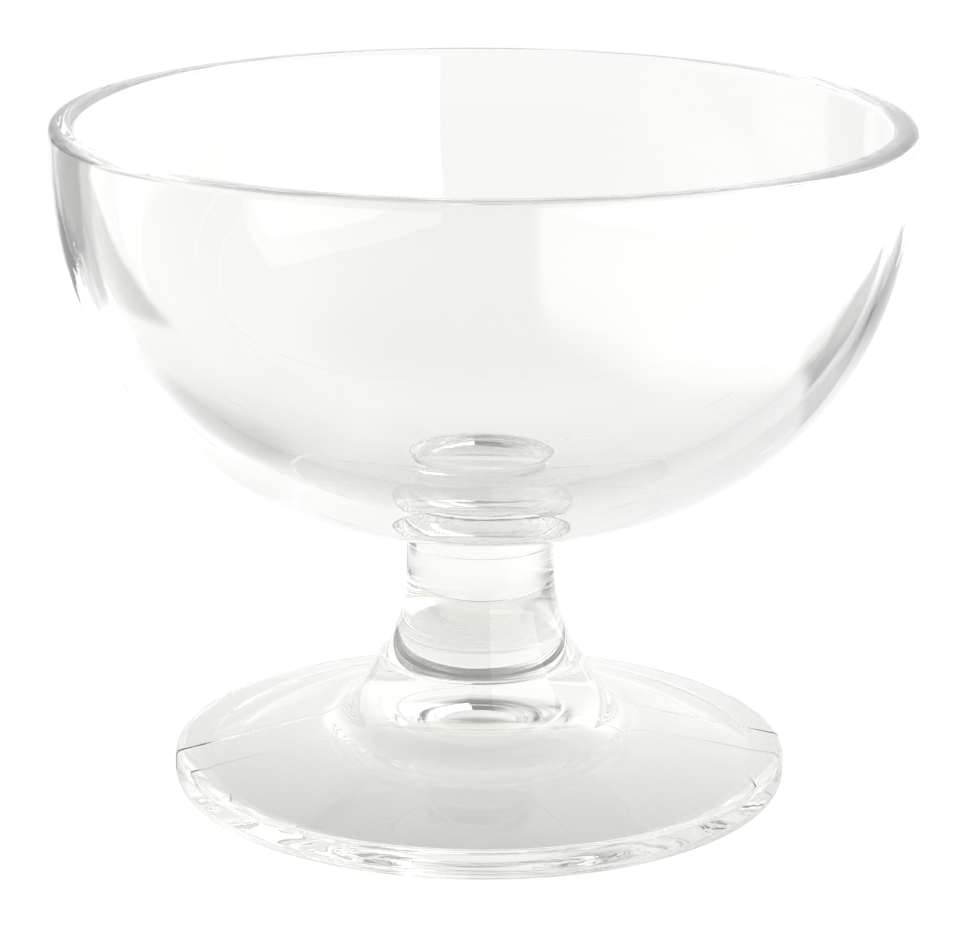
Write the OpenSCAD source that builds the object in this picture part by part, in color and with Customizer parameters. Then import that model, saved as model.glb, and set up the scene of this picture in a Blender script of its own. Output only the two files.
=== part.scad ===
// Footed dessert glass of clear pressed glass: a bowl and a foot, fused to the two ends of a waisted stem.
// The origin is in the middle of the foot, on the table, and Z is up.

/* [Bowl] */
// Width across the outside of the rim
rim_w = 120; // [104:1:136]
// Height of the bowl, from its joint with the stem to the top of the rim
bowl_h = 61; // [54:0.1:70]
// Thickness of the wall at the rim
rim_t = 3.6; // [3:0.1:4.6]
// Radius of the rim's two fire-polished edges
rim_edge_r = 1.4; // [0.8:0.1:1.5]
// Thickness of the glass in the middle of the bowl
bowl_bottom_t = 6; // [4:0.1:9]
// Width of the round boss under the bowl
boss_w = 21.6; // [21.3:0.1:26]
// Height of the boss, from the joint to the level of the bowl's lowest point
boss_h = 2.9; // [2.4:0.1:4]
// Radius of the boss's rounded lower edge
boss_edge_r = 0.3; // [0.2:0.05:0.6]
// Reach of the fillet where the boss meets the bowl
boss_fillet = 0.7; // [0.4:0.1:1.4]

/* [Stem] */
// Height of the stem, from joint to joint
stem_h = 16.8; // [13:0.1:22]
// Width of the stem's straight neck
neck_w = 21; // [18:0.1:21.2]
// Width of the stem's lower end
stem_end_w = 27.4; // [26:0.1:29]
// Taper of the stem's lower end, in degrees from upright
stem_taper = 22; // [19:0.5:26]
// Radius of the flare between the neck and the tapered end, in profile
flare_r = 23.5; // [14:0.5:26]

/* [Foot] */
// Width across the foot
foot_w = 87.5; // [78:0.5:100]
// Height of the foot, from the table to its joint with the stem
foot_h = 18.6; // [17.5:0.1:22]
// Thickness of the foot at its edge
foot_edge_t = 5; // [4:0.1:6]
// How far the hub's shoulder stands out past the stem
shoulder = 0.95; // [0.85:0.05:1.5]
// Radius of the hub's rounded shoulder
shoulder_r = 0.8; // [0.3:0.05:0.85]
// Steepness of the hub's side, in degrees from level
hub_angle = 62; // [57:0.5:66]
// Fall of the foot's upper face, in degrees from level
foot_fall = 13.2; // [12:0.1:15]
// Reach of the curve between the hub and the upper face
hub_blend = 5.3; // [3:0.1:6]
// Radius of the foot's upper edge
top_edge_r = 1; // [0.5:0.1:1.6]
// Radius of the foot's lower edge
low_edge_r = 2.1; // [1:0.1:2.4]

/* [Underside] */
// Width of the flat ring that the glass stands on
stand_ring_t = 3.3; // [1.5:0.1:4.5]
// Height that the shallow hollow under the foot would have without the punt
hollow_h = 5.6; // [5:0.1:6.5]
// Radius of the punt, the broad dome in the middle of the hollow
punt_r = 22.6; // [20:0.1:25]
// Height of the top of the punt above the table
punt_top = 12.3; // [11:0.1:12.8]
// Radius of the fillet between the punt and the hollow
punt_fillet = 7.2; // [4:0.1:9]

/* [Hidden] */
$fn = 128;

// Fullness of the bowl's two curves: 2 is an ellipse, and more is squarer
bowl_fullness = 2.36;
curve_steps = 48; // bowl curves and the hollow
side_steps = 20; // flare and blends
edge_steps = 8; // rounded edges

rim_r = rim_w / 2;
boss_r = boss_w / 2;
neck_r = neck_w / 2;
stem_end_r = stem_end_w / 2;
foot_r = foot_w / 2;
stem_top_z = foot_h + stem_h;
glass_h = stem_top_z + bowl_h;

// Points of a round arc in the profile, from one angle to another
function arc(x, z, r, from, to, steps) =
    [for (i = [0:steps]) let (a = from + (to - from) * i / steps) [x + r * cos(a), z + r * sin(a)]];

// Points of a curve that leaves along the line a-b and arrives along the line b-c
function blend(a, b, c, steps) =
    [for (i = [0:steps]) let (t = i / steps) a * pow(1 - t, 2) + b * 2 * t * (1 - t) + c * pow(t, 2)];

// Points of a bowl curve, a squared ellipse that hangs from the level of the rim, where its angle is 0
function bowl_curve(half_w, depth, from, to) =
    [for (i = [0:curve_steps]) let (a = from + (to - from) * i / curve_steps)
        [half_w * pow(cos(a), 2 / bowl_fullness), glass_h - depth * pow(sin(a), 2 / bowl_fullness)]];

// Angle at which a bowl curve has this share of its half width, or of its depth
function angle_at_width(share) = acos(pow(share, bowl_fullness / 2));
function angle_at_depth(share) = asin(pow(share, bowl_fullness / 2));

// Height of the bowl's outside at a radius
function bowl_z(r) = glass_h - (bowl_h - boss_h) * pow(1 - pow(r / rim_r, bowl_fullness), 1 / bowl_fullness);

module bowl() {
    out_depth = bowl_h - boss_h;
    in_r = rim_r - rim_t;
    in_depth = out_depth - bowl_bottom_t;
    corner_z = bowl_z(boss_r);
    fillet_r = boss_r + boss_fillet;
    edge_z = glass_h - rim_edge_r;
    profile = concat(
        [[0, stem_top_z]],
        arc(boss_r - boss_edge_r, stem_top_z + boss_edge_r, boss_edge_r, -90, 0, edge_steps),
        blend([boss_r, corner_z - boss_fillet], [boss_r, corner_z], [fillet_r, bowl_z(fillet_r)], edge_steps),
        bowl_curve(rim_r, out_depth, angle_at_width(fillet_r / rim_r), angle_at_depth(rim_edge_r / out_depth)),
        arc(rim_r - rim_edge_r, edge_z, rim_edge_r, 0, 90, edge_steps),
        arc(in_r + rim_edge_r, edge_z, rim_edge_r, 90, 180, edge_steps),
        bowl_curve(in_r, in_depth, angle_at_depth(rim_edge_r / in_depth), 90)
    );
    color("#e9eeeb", 0.35) rotate_extrude() polygon(profile);
}

module stem() {
    // the flare turns to the taper, and the straight taper runs on to the joint
    flare_end_r = neck_r + flare_r * (1 - cos(stem_taper));
    flare_end_z = foot_h + (stem_end_r - flare_end_r) / tan(stem_taper);
    flare_z = flare_end_z + flare_r * sin(stem_taper);
    profile = concat(
        [[0, stem_top_z], [0, foot_h], [stem_end_r, foot_h]],
        arc(neck_r + flare_r, flare_z, flare_r, 180 + stem_taper, 180, side_steps),
        [[neck_r, stem_top_z]]
    );
    color("#e4e9e6", 0.35) rotate_extrude() polygon(profile);
}

module foot() {
    // hub: a rounded shoulder, then a straight side that would meet the upper face in a corner
    shoulder_a = 90 - hub_angle;
    shoulder_x = stem_end_r + shoulder - shoulder_r * cos(shoulder_a);
    shoulder_arc = arc(shoulder_x, foot_h - shoulder_r, shoulder_r, shoulder_a, 90, edge_steps);
    top_arc = arc(foot_r - top_edge_r, foot_edge_t - top_edge_r, top_edge_r, 0, 90 - foot_fall, edge_steps);
    low_arc = arc(foot_r - low_edge_r, low_edge_r, low_edge_r, -90, 0, edge_steps);
    hub_p = shoulder_arc[0];
    face_p = top_arc[edge_steps];
    corner_x = (hub_p.y + hub_p.x * tan(hub_angle) - face_p.y - face_p.x * tan(foot_fall))
        / (tan(hub_angle) - tan(foot_fall));
    corner = [corner_x, face_p.y + (face_p.x - corner_x) * tan(foot_fall)];
    face_end = corner + hub_blend * [cos(foot_fall), -sin(foot_fall)];
    hub_end = corner + hub_blend * [-cos(hub_angle), sin(hub_angle)];

    // underside: two round arcs about the axis, and a fillet arc that touches both
    hollow_r = foot_r - low_edge_r - stand_ring_t;
    cap_r = (pow(hollow_r, 2) + pow(hollow_h, 2)) / (2 * hollow_h);
    cap_z = hollow_h - cap_r;
    punt_z = punt_top - punt_r;
    fillet_z = (pow(cap_r + punt_fillet, 2) - pow(punt_r + punt_fillet, 2)) / (2 * (punt_z - cap_z))
        + (punt_z + cap_z) / 2;
    fillet_x = sqrt(pow(punt_r + punt_fillet, 2) - pow(fillet_z - punt_z, 2));
    punt_a = atan2(fillet_z - punt_z, fillet_x);
    cap_a = atan2(fillet_z - cap_z, fillet_x);

    profile = concat(
        arc(0, punt_z, punt_r, 90, punt_a, side_steps),
        arc(fillet_x, fillet_z, punt_fillet, 180 + punt_a, 180 + cap_a, edge_steps),
        arc(0, cap_z, cap_r, cap_a, atan2(-cap_z, hollow_r), curve_steps),
        low_arc,
        top_arc,
        blend(face_end, corner, hub_end, side_steps),
        shoulder_arc,
        [[0, foot_h]]
    );
    color("#dfe5e1", 0.35) rotate_extrude() polygon(profile);
}

bowl();
stem();
foot();
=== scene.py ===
# Footed dessert glass in clear pressed glass, on a white table with one soft window light from the right front.
# The bowl, the stem and the foot are turned round Z, in millimetres, and meet face to face at two fused joints.
import math

import bmesh
import bpy
from mathutils import Matrix, Vector


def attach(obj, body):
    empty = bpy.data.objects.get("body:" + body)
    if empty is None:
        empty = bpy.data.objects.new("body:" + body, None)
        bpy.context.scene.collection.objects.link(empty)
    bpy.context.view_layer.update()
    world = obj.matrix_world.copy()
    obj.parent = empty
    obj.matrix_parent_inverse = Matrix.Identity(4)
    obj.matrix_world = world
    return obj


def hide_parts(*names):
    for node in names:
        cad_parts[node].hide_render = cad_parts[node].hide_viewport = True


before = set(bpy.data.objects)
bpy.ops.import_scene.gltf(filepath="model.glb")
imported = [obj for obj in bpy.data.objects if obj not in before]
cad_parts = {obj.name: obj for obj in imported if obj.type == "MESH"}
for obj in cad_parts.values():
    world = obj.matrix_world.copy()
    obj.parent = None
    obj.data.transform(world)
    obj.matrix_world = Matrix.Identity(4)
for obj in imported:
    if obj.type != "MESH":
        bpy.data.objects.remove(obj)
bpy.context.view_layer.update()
scene = bpy.context.scene
mm = 0.001



# node and colour helpers

def linearFromHex(hexColour):
    # sRGB hex to the linear colour that sockets want
    channels = [int(hexColour[i:i + 2], 16) / 255 for i in (1, 3, 5)]
    return tuple(c / 12.92 if c <= 0.04045 else ((c + 0.055) / 1.055) ** 2.4 for c in channels) + (1,)


def addNode(tree, kind, at, settings=None, sockets=None):
    # adds a node with its settings, then its sockets: a plain value, or another node's output to link
    node = tree.nodes.new(kind)
    node.location = (at[0] * 200, at[1] * 160)
    for name, value in (settings or {}).items():
        setattr(node, name, value)
    for name, value in (sockets or {}).items():
        if isinstance(value, bpy.types.NodeSocket):
            tree.links.new(value, node.inputs[name])
        else:
            node.inputs[name].default_value = value
    return node


def newMaterial(name):
    material = bpy.data.materials.new(name)
    material.use_nodes = True
    material.node_tree.nodes.clear()
    return material, material.node_tree


# profile helpers, all in millimetres

def arcPoints(x, z, radius, start, end, steps):
    turns = [math.radians(start + (end - start) * i / steps) for i in range(steps + 1)]
    return [(x + radius * math.cos(a), z + radius * math.sin(a)) for a in turns]


def blendPoints(a, b, c, steps):
    # leaves along the line a-b and arrives along the line b-c
    found = []
    for i in range(steps + 1):
        t = i / steps
        found.append(tuple(p * (1 - t) ** 2 + q * 2 * t * (1 - t) + r * t ** 2 for p, q, r in zip(a, b, c)))
    return found


def linePoints(a, b, steps):
    # the points between two ends, without them
    return [(a[0] + (b[0] - a[0]) * i / steps, a[1] + (b[1] - a[1]) * i / steps) for i in range(1, steps)]


def smoothStep(low, high, x):
    t = min(1, max(0, (x - low) / (high - low)))
    return t * t * (3 - 2 * t)


# materials

glassLook = {
    "ior": 1.52,             # soda-lime glass
    "roughness": 0.004,      # fire-polished: mirror smooth
    "rippleMm": 16,          # slow ripples that the mould leaves
    "rippleBump": 0.05,
    "rippleDepth": 0.06,     # in widths of a ripple
    "chillMm": 1.9,          # fine chill marks from the cool mould
    "chillBump": 0.012,
    "chillDepth": 0.1,       # in widths of a mark
    "shadowTint": "#f6f6f3",
}


def pressedGlass(name, tint):
    # Pressed soda-lime glass, fire-polished: clear with a breath of grey green, bright edges and slow ripples
    look = glassLook
    material, tree = newMaterial(name)
    place = addNode(tree, "ShaderNodeTexCoord", (-6, 0))
    ripple = addNode(tree, "ShaderNodeTexNoise", (-5, 1), {}, {
        "Vector": place.outputs["Object"], "Scale": 1 / (look["rippleMm"] * mm), "Detail": 1.0, "Roughness": 0.4})
    chill = addNode(tree, "ShaderNodeTexNoise", (-5, -1), {}, {
        "Vector": place.outputs["Object"], "Scale": 1 / (look["chillMm"] * mm), "Detail": 2.0, "Roughness": 0.5})
    slow = addNode(tree, "ShaderNodeBump", (-3, 1), {}, {
        "Height": ripple.outputs["Fac"], "Strength": look["rippleBump"],
        "Distance": look["rippleMm"] * mm * look["rippleDepth"]})
    fine = addNode(tree, "ShaderNodeBump", (-2, 0), {}, {
        "Height": chill.outputs["Fac"], "Strength": look["chillBump"],
        "Distance": look["chillMm"] * mm * look["chillDepth"], "Normal": slow.outputs["Normal"]})
    glass = addNode(tree, "ShaderNodeBsdfPrincipled", (0, 0), {}, {
        "Base Color": linearFromHex(tint), "Roughness": look["roughness"], "IOR": look["ior"],
        "Transmission Weight": 1.0, "Normal": fine.outputs["Normal"]})
    way = addNode(tree, "ShaderNodeLightPath", (0, 3))
    through = addNode(tree, "ShaderNodeBsdfTransparent", (0, -4), {}, {"Color": linearFromHex(look["shadowTint"])})
    both = addNode(tree, "ShaderNodeMixShader", (2, 0), {}, {0: way.outputs["Is Shadow Ray"]})
    tree.links.new(glass.outputs[0], both.inputs[1])
    tree.links.new(through.outputs[0], both.inputs[2])    # light from the lamps passes
    addNode(tree, "ShaderNodeOutputMaterial", (3, 0), {}, {"Surface": both.outputs[0]})
    return material


def fusedJoint():
    # Glass fused to glass: nothing shows at the weld, so light goes straight on
    material, tree = newMaterial("fused_glass_joint")
    clear = addNode(tree, "ShaderNodeBsdfTransparent", (0, 0), {}, {"Color": (1, 1, 1, 1)})
    addNode(tree, "ShaderNodeOutputMaterial", (1, 0), {}, {"Surface": clear.outputs[0]})
    return material


bowlGlass = pressedGlass("pressed_soda_lime_glass_bowl", "#fbfbfa")
stemGlass = pressedGlass("pressed_soda_lime_glass_stem", "#fbfbf8")
footGlass = pressedGlass("pressed_soda_lime_glass_foot", "#fbfbf8")
joint = fusedJoint()
print("materials made")


# turned pieces

turnSteps = 224          # faces round the axis, before the seams add theirs
nextToNone = 1e-6        # millimetres
seam = {
    "turns": [6, 186],                           # raised lines where the mould's halves met, in degrees
    "width": 0.5, "height": 0.07,                # millimetres
    "lines": [-2.4, -1, -0.5, 0, 0.5, 1, 2.4],   # mesh lines across a seam, in half widths
}
wallWaves = [                                    # how the wall's thickness wanders as it goes round
    {"share": 1.0, "rounds": 2, "start": 0.7, "drift": 0.05},
    {"share": 0.7, "rounds": 3, "start": 2.1, "drift": -0.08},
    {"share": 0.5, "rounds": 5, "start": 4.0, "drift": 0.13},
    {"share": 0.4, "rounds": 7, "start": 0.0, "drift": 0.21},
]


def wander(turn, z):
    # how far in the surface lies at a place on the wall, from about 0 to 1
    swing = sum(w["share"] * math.sin(w["rounds"] * turn + w["start"] + z * w["drift"]) for w in wallWaves)
    return 0.5 + swing / (2 * sum(w["share"] for w in wallWaves))


def turned(name, profile, slots, weldLevels, seamFrom, seamTo, wave):
    # turns a profile that starts and ends on the axis; flat faces on a weld level get the second material
    normals = []
    for i, (r, z) in enumerate(profile):
        before, after = profile[max(i - 1, 0)], profile[min(i + 1, len(profile) - 1)]
        run, rise = after[0] - before[0], after[1] - before[1]
        size = math.hypot(run, rise) or 1
        normals.append((rise / size, -run / size))
    turns = [360 * i / turnSteps for i in range(turnSteps)]
    near = 360 / turnSteps
    turns = [t for t in turns if all(abs((t - s + 180) % 360 - 180) > near for s in seam["turns"])]
    lines = sorted([(t, None, 0) for t in turns] + [(s, s, k) for s in seam["turns"] for k in seam["lines"]],
                   key=lambda line: (line[0] + line[2] * near / 4) % 360)
    mesh = bmesh.new()
    rings = []
    for (r, z), (nr, nz) in zip(profile, normals):
        if r < nextToNone:
            rings.append([mesh.verts.new((0, 0, z * mm))])
            continue
        ring = []
        outside = nr > -0.2 and (nz > -0.2 or nr > 0.5)    # the seams run on the outside alone
        fade = outside * smoothStep(seamFrom, seamFrom + 1, z) * (1 - smoothStep(seamTo - 0.5, seamTo, z))
        calm = min(smoothStep(0.4, 3, abs(z - level)) for level in weldLevels)    # the welds stay true
        for degrees, at, step in lines:
            halfWidth = min(math.degrees(seam["width"] / 2 / r), near / 2.6)
            turn = math.radians(degrees if at is None else at + step * halfWidth)
            lift = fade * seam["height"] * (max(0, 1 - step ** 2) if at is not None else 0)
            lift -= wave * calm * wander(turn, z)
            ring.append(mesh.verts.new((
                (r + nr * lift) * math.cos(turn) * mm, (r + nr * lift) * math.sin(turn) * mm,
                (z + nz * lift) * mm)))
        rings.append(ring)
    for i, (low, high) in enumerate(zip(rings, rings[1:])):
        flat = profile[i][1] == profile[i + 1][1]
        weld = flat and any(abs(profile[i][1] - level) < nextToNone for level in weldLevels)
        weld = weld and min(profile[i][0], profile[i + 1][0]) < nextToNone
        count = max(len(low), len(high))
        for k in range(count):
            following = (k + 1) % count
            if len(low) == 1:
                face = mesh.faces.new((low[0], high[following], high[k]))
            elif len(high) == 1:
                face = mesh.faces.new((low[k], low[following], high[0]))
            else:
                face = mesh.faces.new((low[k], low[following], high[following], high[k]))
            face.material_index = 1 if weld else 0
            face.smooth = True
    bmesh.ops.recalc_face_normals(mesh, faces=mesh.faces)
    data = bpy.data.meshes.new(name)
    mesh.to_mesh(data)
    mesh.free()
    data.set_sharp_from_angle(angle=math.radians(32))
    for slot in slots:
        data.materials.append(slot)
    piece = bpy.data.objects.new(name, data)
    scene.collection.objects.link(piece)
    return piece


footSpec = {
    "width": 87.5, "jointLevel": 18.6, "edgeThickness": 5.0, "topEdgeRadius": 1.0, "lowEdgeRadius": 2.1,
    "shoulder": 0.95, "shoulderRadius": 0.8, "hubAngle": 62, "fall": 13.2, "hubBlend": 5.3,
    "standRing": 3.3, "hollow": 5.6, "puntRadius": 22.6, "puntTop": 12.3, "puntFillet": 7.2,
    "seamFrom": 1.2, "seamTo": 18.4, "wave": 0.04,
}
stemSpec = {
    "neckRadius": 10.5, "endRadius": 13.7, "taper": 22, "flareRadius": 23.5,
    "lowLevel": 18.6, "topLevel": 35.4,
    "seamFrom": 18.9, "seamTo": 35.2, "wave": 0.03,
}
bowlSpec = {
    "rimRadius": 60.0, "top": 96.4, "wall": 3.6, "rimEdge": 1.4, "bottomThickness": 6.0,
    "jointLevel": 35.4, "bossHeight": 2.9, "bossRadius": 10.8, "bossEdge": 0.3, "bossFillet": 0.7, "fullness": 2.36,
    "seamFrom": 35.8, "seamTo": 50, "wave": 0.05,
}


def footProfile():
    # from the top of the punt, out along the underside, round the edge and up the hub to the joint
    s = footSpec
    radius = s["width"] / 2
    puntLevel = s["puntTop"] - s["puntRadius"]
    hollowRadius = radius - s["lowEdgeRadius"] - s["standRing"]
    capRadius = (hollowRadius ** 2 + s["hollow"] ** 2) / (2 * s["hollow"])
    capLevel = s["hollow"] - capRadius
    farther, nearer = capRadius + s["puntFillet"], s["puntRadius"] + s["puntFillet"]
    filletZ = (farther ** 2 - nearer ** 2) / (2 * (puntLevel - capLevel)) + (puntLevel + capLevel) / 2
    filletX = math.sqrt(nearer ** 2 - (filletZ - puntLevel) ** 2)
    puntTurn = math.degrees(math.atan2(filletZ - puntLevel, filletX))
    capTurn = math.degrees(math.atan2(filletZ - capLevel, filletX))
    capEnd = math.degrees(math.atan2(-capLevel, hollowRadius))
    shoulderTurn = 90 - s["hubAngle"]
    shoulderX = stemSpec["endRadius"] + s["shoulder"] - s["shoulderRadius"] * math.cos(math.radians(shoulderTurn))
    shoulderArc = arcPoints(shoulderX, s["jointLevel"] - s["shoulderRadius"],
                            s["shoulderRadius"], shoulderTurn, 90, 10)
    topArc = arcPoints(radius - s["topEdgeRadius"], s["edgeThickness"] - s["topEdgeRadius"],
                       s["topEdgeRadius"], 0, 90 - s["fall"], 10)
    lowArc = arcPoints(radius - s["lowEdgeRadius"], s["lowEdgeRadius"], s["lowEdgeRadius"], -90, 0, 12)
    steep, shallow = math.tan(math.radians(s["hubAngle"])), math.tan(math.radians(s["fall"]))
    hubPoint, facePoint = shoulderArc[0], topArc[-1]
    cornerX = (hubPoint[1] + hubPoint[0] * steep - facePoint[1] - facePoint[0] * shallow) / (steep - shallow)
    corner = (cornerX, facePoint[1] + (facePoint[0] - cornerX) * shallow)
    fall, rise = math.radians(s["fall"]), math.radians(s["hubAngle"])
    faceEnd = (corner[0] + s["hubBlend"] * math.cos(fall), corner[1] - s["hubBlend"] * math.sin(fall))
    hubEnd = (corner[0] - s["hubBlend"] * math.cos(rise), corner[1] + s["hubBlend"] * math.sin(rise))
    punt = arcPoints(0, puntLevel, s["puntRadius"], 90, puntTurn, 24)
    punt[0] = (0, punt[0][1])
    return (punt
            + arcPoints(filletX, filletZ, s["puntFillet"], 180 + puntTurn, 180 + capTurn, 10)[1:]
            + arcPoints(0, capLevel, capRadius, capTurn, capEnd, 48)[1:]
            + lowArc + topArc + linePoints(facePoint, faceEnd, 10) + blendPoints(faceEnd, corner, hubEnd, 24)
            + linePoints(hubEnd, hubPoint, 8) + shoulderArc
            + [(stemSpec["endRadius"], s["jointLevel"]), (0, s["jointLevel"])])


def stemProfile():
    s = stemSpec
    lean = math.radians(s["taper"])
    flareEnd = s["neckRadius"] + s["flareRadius"] * (1 - math.cos(lean))
    centreLevel = s["lowLevel"] + (s["endRadius"] - flareEnd) / math.tan(lean) + s["flareRadius"] * math.sin(lean)
    flare = arcPoints(s["neckRadius"] + s["flareRadius"], centreLevel, s["flareRadius"], 180 + s["taper"], 180, 30)
    return ([(0, s["lowLevel"]), (s["endRadius"], s["lowLevel"])]
            + linePoints((s["endRadius"], s["lowLevel"]), flare[0], 6) + flare
            + linePoints(flare[-1], (s["neckRadius"], s["topLevel"]), 6)
            + [(s["neckRadius"], s["topLevel"]), (0, s["topLevel"])])


def bowlProfile():
    s = bowlSpec
    power = s["fullness"]
    outDepth = s["top"] - s["jointLevel"] - s["bossHeight"]
    inRadius, inDepth = s["rimRadius"] - s["wall"], outDepth - s["bottomThickness"]
    edge = s["rimEdge"]

    def curve(halfWidth, depth, start, end, steps):
        turns = [start + (end - start) * i / steps for i in range(steps + 1)]
        return [(halfWidth * max(0, math.cos(a)) ** (2 / power), s["top"] - depth * max(0, math.sin(a)) ** (2 / power))
                for a in turns]

    def level(r):
        return s["top"] - outDepth * (1 - (r / s["rimRadius"]) ** power) ** (1 / power)

    boss, fillet = s["bossRadius"], s["bossRadius"] + s["bossFillet"]
    inside = curve(inRadius, inDepth, math.asin((edge / inDepth) ** (power / 2)), math.pi / 2, 72)
    inside[-1] = (0, inside[-1][1])
    return ([(0, s["jointLevel"]), (stemSpec["neckRadius"], s["jointLevel"])]
            + arcPoints(boss - s["bossEdge"], s["jointLevel"] + s["bossEdge"], s["bossEdge"], -90, 0, 8)[1:]
            + linePoints((boss, s["jointLevel"] + s["bossEdge"]), (boss, level(boss) - s["bossFillet"]), 4)
            + blendPoints((boss, level(boss) - s["bossFillet"]), (boss, level(boss)), (fillet, level(fillet)), 10)
            + curve(s["rimRadius"], outDepth, math.acos((fillet / s["rimRadius"]) ** (power / 2)),
                    math.asin((edge / outDepth) ** (power / 2)), 72)[1:]
            + arcPoints(s["rimRadius"] - edge, s["top"] - edge, edge, 0, 90, 10)
            + arcPoints(inRadius + edge, s["top"] - edge, edge, 90, 180, 10)
            + inside[1:])


foot = turned("foot_pressed", footProfile(), [footGlass, joint], [footSpec["jointLevel"]],
              footSpec["seamFrom"], footSpec["seamTo"], footSpec["wave"])
stem = turned("stem_pressed", stemProfile(), [stemGlass, joint], [stemSpec["lowLevel"], stemSpec["topLevel"]],
              stemSpec["seamFrom"], stemSpec["seamTo"], stemSpec["wave"])
bowl = turned("bowl_pressed", bowlProfile(), [bowlGlass, joint], [bowlSpec["jointLevel"]],
              bowlSpec["seamFrom"], bowlSpec["seamTo"], bowlSpec["wave"])
for piece, node, slot in ((foot, "foot", "foot_glass"), (stem, "stem", "stem_glass"), (bowl, "bowl", "bowl_glass")):
    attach(piece, "root")
    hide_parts(node)
print("glass turned")


# camera, room and light

cameraSpec = {
    "x": 0.51, "y": -530.06, "z": 191.55,    # millimetres
    "tilt": 0.2671, "roll": 0.0066,          # radians below level, and about the view
    "lens": 143.95, "sensor": 36,
}
cameraData = bpy.data.cameras.new("camera")
cameraData.sensor_width = cameraSpec["sensor"]
cameraData.lens = cameraSpec["lens"]
cameraData.clip_start = 0.01
cameraData.clip_end = 50
camera = bpy.data.objects.new("camera", cameraData)
scene.collection.objects.link(camera)
camera.matrix_world = (Matrix.Translation([cameraSpec[k] * mm for k in "xyz"])
                       @ Matrix.Rotation(math.pi / 2 - cameraSpec["tilt"], 4, "X")
                       @ Matrix.Rotation(cameraSpec["roll"], 4, "Z"))
scene.camera = camera

roomSpec = {
    "white": 1.0, "front": 0.22,             # how bright the room is behind the glass and towards the camera
    "side": 0.21,                            # more of it at the right, less at the left
    "ceiling": 0.26,                         # share that is left straight above
}
tableSpec = {
    "width": 6,                              # metres
    "white": 0.8,                            # how much light it gives by itself, with which it reads white
    "front": 0.24,                           # painted shade: the glass gets only this much of that glow from the part in front of it
    "reach": 0.12,                           # metres before and behind the middle of the glass, to change over
    "colour": "#9c9c9b",
}
# Areas of painted light and painted shade on the table round the glass, which only the glass shows. Each edge is a
# line through a point (mm) that runs a way (0 is to the camera, 90 to the right, with the area on its left) and is
# soft (mm).
paintedLightAndShadeAreas = [
    {"light": 1.1, "edges": [((40, -167), 13.5, 9), ((40, -167), 334.7, 12)]},                # painted pool of window light
    # painted shade: dark patches of the table that only the glass shows
    {"light": -0.57, "edges": [((0, 0), 105, 5), ((0, 0), 313, 5), ((96, 53), 29, 6), ((262, 145), 209, 8)]},
    {"light": -0.5, "edges": [((0, 0), 208, 6), ((0, 0), 56, 6), ((-112, 128), 131, 8)]},
    {"light": -0.25, "edges": [((-46, 0), 180, 6), ((-92, 0), 0, 12), ((0, -60), 90, 20), ((0, 60), 270, 20)]},
    {"light": -0.26, "edges": [((0, -46), 270, 5), ((0, -90), 90, 12), ((66, 0), 180, 16), ((-34, 0), 0, 9)]},
]


def buildWorld():
    # white behind the glass, dim towards the camera and under the ceiling, which gives the glass its dark edges
    s = roomSpec
    world = bpy.data.worlds.new("studio")
    scene.world = world
    world.use_nodes = True
    tree = world.node_tree
    tree.nodes.clear()
    place = addNode(tree, "ShaderNodeTexCoord", (-6, 0))
    split = addNode(tree, "ShaderNodeSeparateXYZ", (-5, 0), {}, {0: place.outputs["Generated"]})
    level = addNode(tree, "ShaderNodeMapRange", (-4, 2), {"interpolation_type": "SMOOTHSTEP"}, {
        "Value": split.outputs["Y"], "From Min": -1.0, "From Max": -0.05, "To Min": s["front"], "To Max": s["white"]})
    side = addNode(tree, "ShaderNodeMapRange", (-4, 0), {}, {
        "Value": split.outputs["X"], "From Min": -1.0, "To Min": 1 - s["side"], "To Max": 1 + s["side"]})
    ceiling = addNode(tree, "ShaderNodeMapRange", (-4, -2), {"interpolation_type": "SMOOTHSTEP"}, {
        "Value": split.outputs["Z"], "From Min": 0.7, "From Max": 0.97, "To Min": 1.0, "To Max": s["ceiling"]})
    lower = addNode(tree, "ShaderNodeMath", (-3, 1), {"operation": "MULTIPLY"}, {
        0: level.outputs[0], 1: side.outputs[0]})
    whole = addNode(tree, "ShaderNodeMath", (-3, -1), {"operation": "MULTIPLY"}, {
        0: lower.outputs[0], 1: ceiling.outputs[0]})
    room = addNode(tree, "ShaderNodeBackground", (-2, 0), {}, {"Color": (1, 1, 1, 1), "Strength": whole.outputs[0]})
    seen = addNode(tree, "ShaderNodeBackground", (-2, -2), {}, {"Color": (1, 1, 1, 1), "Strength": s["white"]})
    way = addNode(tree, "ShaderNodeLightPath", (-2, 2))
    both = addNode(tree, "ShaderNodeMixShader", (0, 0), {}, {0: way.outputs["Is Camera Ray"]})
    tree.links.new(room.outputs[0], both.inputs[1])
    tree.links.new(seen.outputs[0], both.inputs[2])
    addNode(tree, "ShaderNodeOutputWorld", (1, 0), {}, {"Surface": both.outputs[0]})


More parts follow.
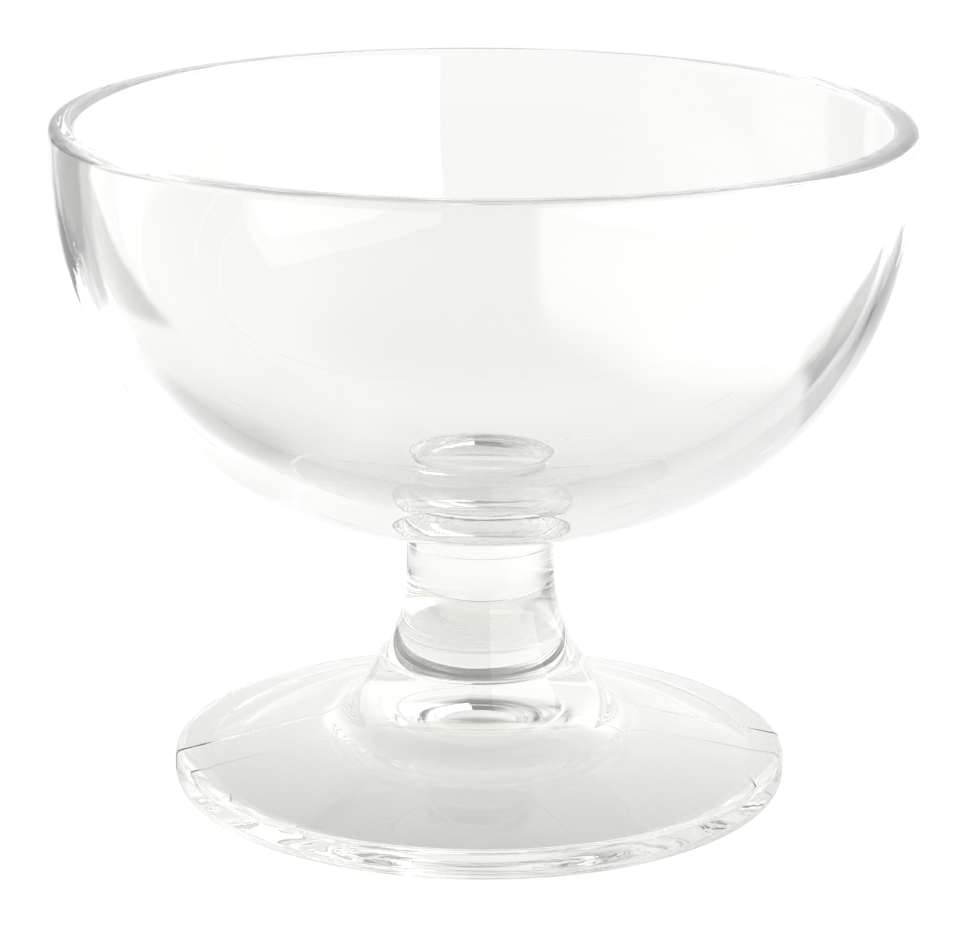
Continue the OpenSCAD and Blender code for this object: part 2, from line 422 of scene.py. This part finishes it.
def buildTable():
    # White table top: matt, and lit from inside, so that it reads white and still takes the glass's shadow. The glow
    # that the glass sees carries painted shade and painted light.
    s = tableSpec
    half = s["width"] / 2
    data = bpy.data.meshes.new("table_top")
    data.from_pydata([(-half, -half, 0), (half, -half, 0), (half, half, 0), (-half, half, 0)], [], [(0, 1, 2, 3)])
    table = bpy.data.objects.new("table_top", data)
    scene.collection.objects.link(table)
    material, tree = newMaterial("white_acrylic_table_painted_light_and_shade")
    place = addNode(tree, "ShaderNodeNewGeometry", (-9, 0))
    split = addNode(tree, "ShaderNodeSeparateXYZ", (-8, 2), {}, {0: place.outputs["Position"]})
    # painted shade: for the glass the glow falls from white behind the glass to the front level before it
    glowWithPaintedLightAndShade = addNode(tree, "ShaderNodeMapRange", (-7, 2), {"interpolation_type": "SMOOTHSTEP"}, {
        "Value": split.outputs["Y"], "From Min": -s["reach"], "From Max": s["reach"],
        "To Min": s["front"], "To Max": s["white"]})
    # adds each area's painted light or painted shade to the glow
    for row, area in enumerate(paintedLightAndShadeAreas):
        share = area["light"]
        for column, ((x, y), turn, soft) in enumerate(area["edges"]):
            across = (math.cos(math.radians(turn)), math.sin(math.radians(turn)), 0)
            level = (x * across[0] + y * across[1]) * mm
            reach = addNode(tree, "ShaderNodeVectorMath", (-7 + column, -2 - row * 3), {"operation": "DOT_PRODUCT"}, {
                0: place.outputs["Position"], 1: across})
            step = addNode(tree, "ShaderNodeMapRange", (-7 + column, -3 - row * 3), {
                "interpolation_type": "SMOOTHSTEP"}, {
                "Value": reach.outputs["Value"], "From Min": level - soft * mm, "From Max": level + soft * mm})
            share = addNode(tree, "ShaderNodeMath", (-7 + column, -4 - row * 3), {"operation": "MULTIPLY"}, {
                0: share, 1: step.outputs[0]}).outputs[0]
        glowWithPaintedLightAndShade = addNode(tree, "ShaderNodeMath", (-6 + row, 2), {"operation": "ADD"}, {0: glowWithPaintedLightAndShade.outputs[0], 1: share})
    way = addNode(tree, "ShaderNodeLightPath", (-3, 2))
    pick = addNode(tree, "ShaderNodeMix", (-2, 1), {"data_type": "FLOAT"}, {
        "Factor": way.outputs["Is Camera Ray"], "A": glowWithPaintedLightAndShade.outputs[0], "B": s["white"]})
    shine = addNode(tree, "ShaderNodeEmission", (-1, 0), {}, {"Strength": pick.outputs[0]})
    matt = addNode(tree, "ShaderNodeBsdfDiffuse", (-1, -1), {}, {"Color": linearFromHex(s["colour"])})
    both = addNode(tree, "ShaderNodeAddShader", (0, 0))
    tree.links.new(shine.outputs[0], both.inputs[0])
    tree.links.new(matt.outputs[0], both.inputs[1])
    addNode(tree, "ShaderNodeOutputMaterial", (1, 0), {}, {"Surface": both.outputs[0]})
    data.materials.append(material)


lightSpec = {
    "turn": 49, "away": 0.382,                        # 0 is to the camera and 90 to the right; metres from the glass
    "width": 0.54, "height": 0.36, "foot": 0.005,     # metres
    "power": 0.85,
}


def addWindowLight():
    # an upright soft box that stands on the table and faces the glass
    s = lightSpec
    a = math.radians(s["turn"])
    data = bpy.data.lights.new("window_light", "AREA")
    data.shape = "RECTANGLE"
    data.size, data.size_y, data.energy = s["width"], s["height"], s["power"]
    light = bpy.data.objects.new("window_light", data)
    light.location = (s["away"] * math.sin(a), -s["away"] * math.cos(a), s["height"] / 2 + s["foot"])
    light.rotation_euler = Vector((-math.sin(a), math.cos(a), 0)).to_track_quat("-Z", "Y").to_euler()
    scene.collection.objects.link(light)


buildWorld()
buildTable()
addWindowLight()
scene.view_settings.view_transform = "Standard"
cycles = scene.cycles
cycles.max_bounces = 96            # light runs a long way round inside the bowl's wall
cycles.transmission_bounces = 96
cycles.glossy_bounces = 96
cycles.transparent_max_bounces = 24
cycles.use_denoising = True
print("stage lit")
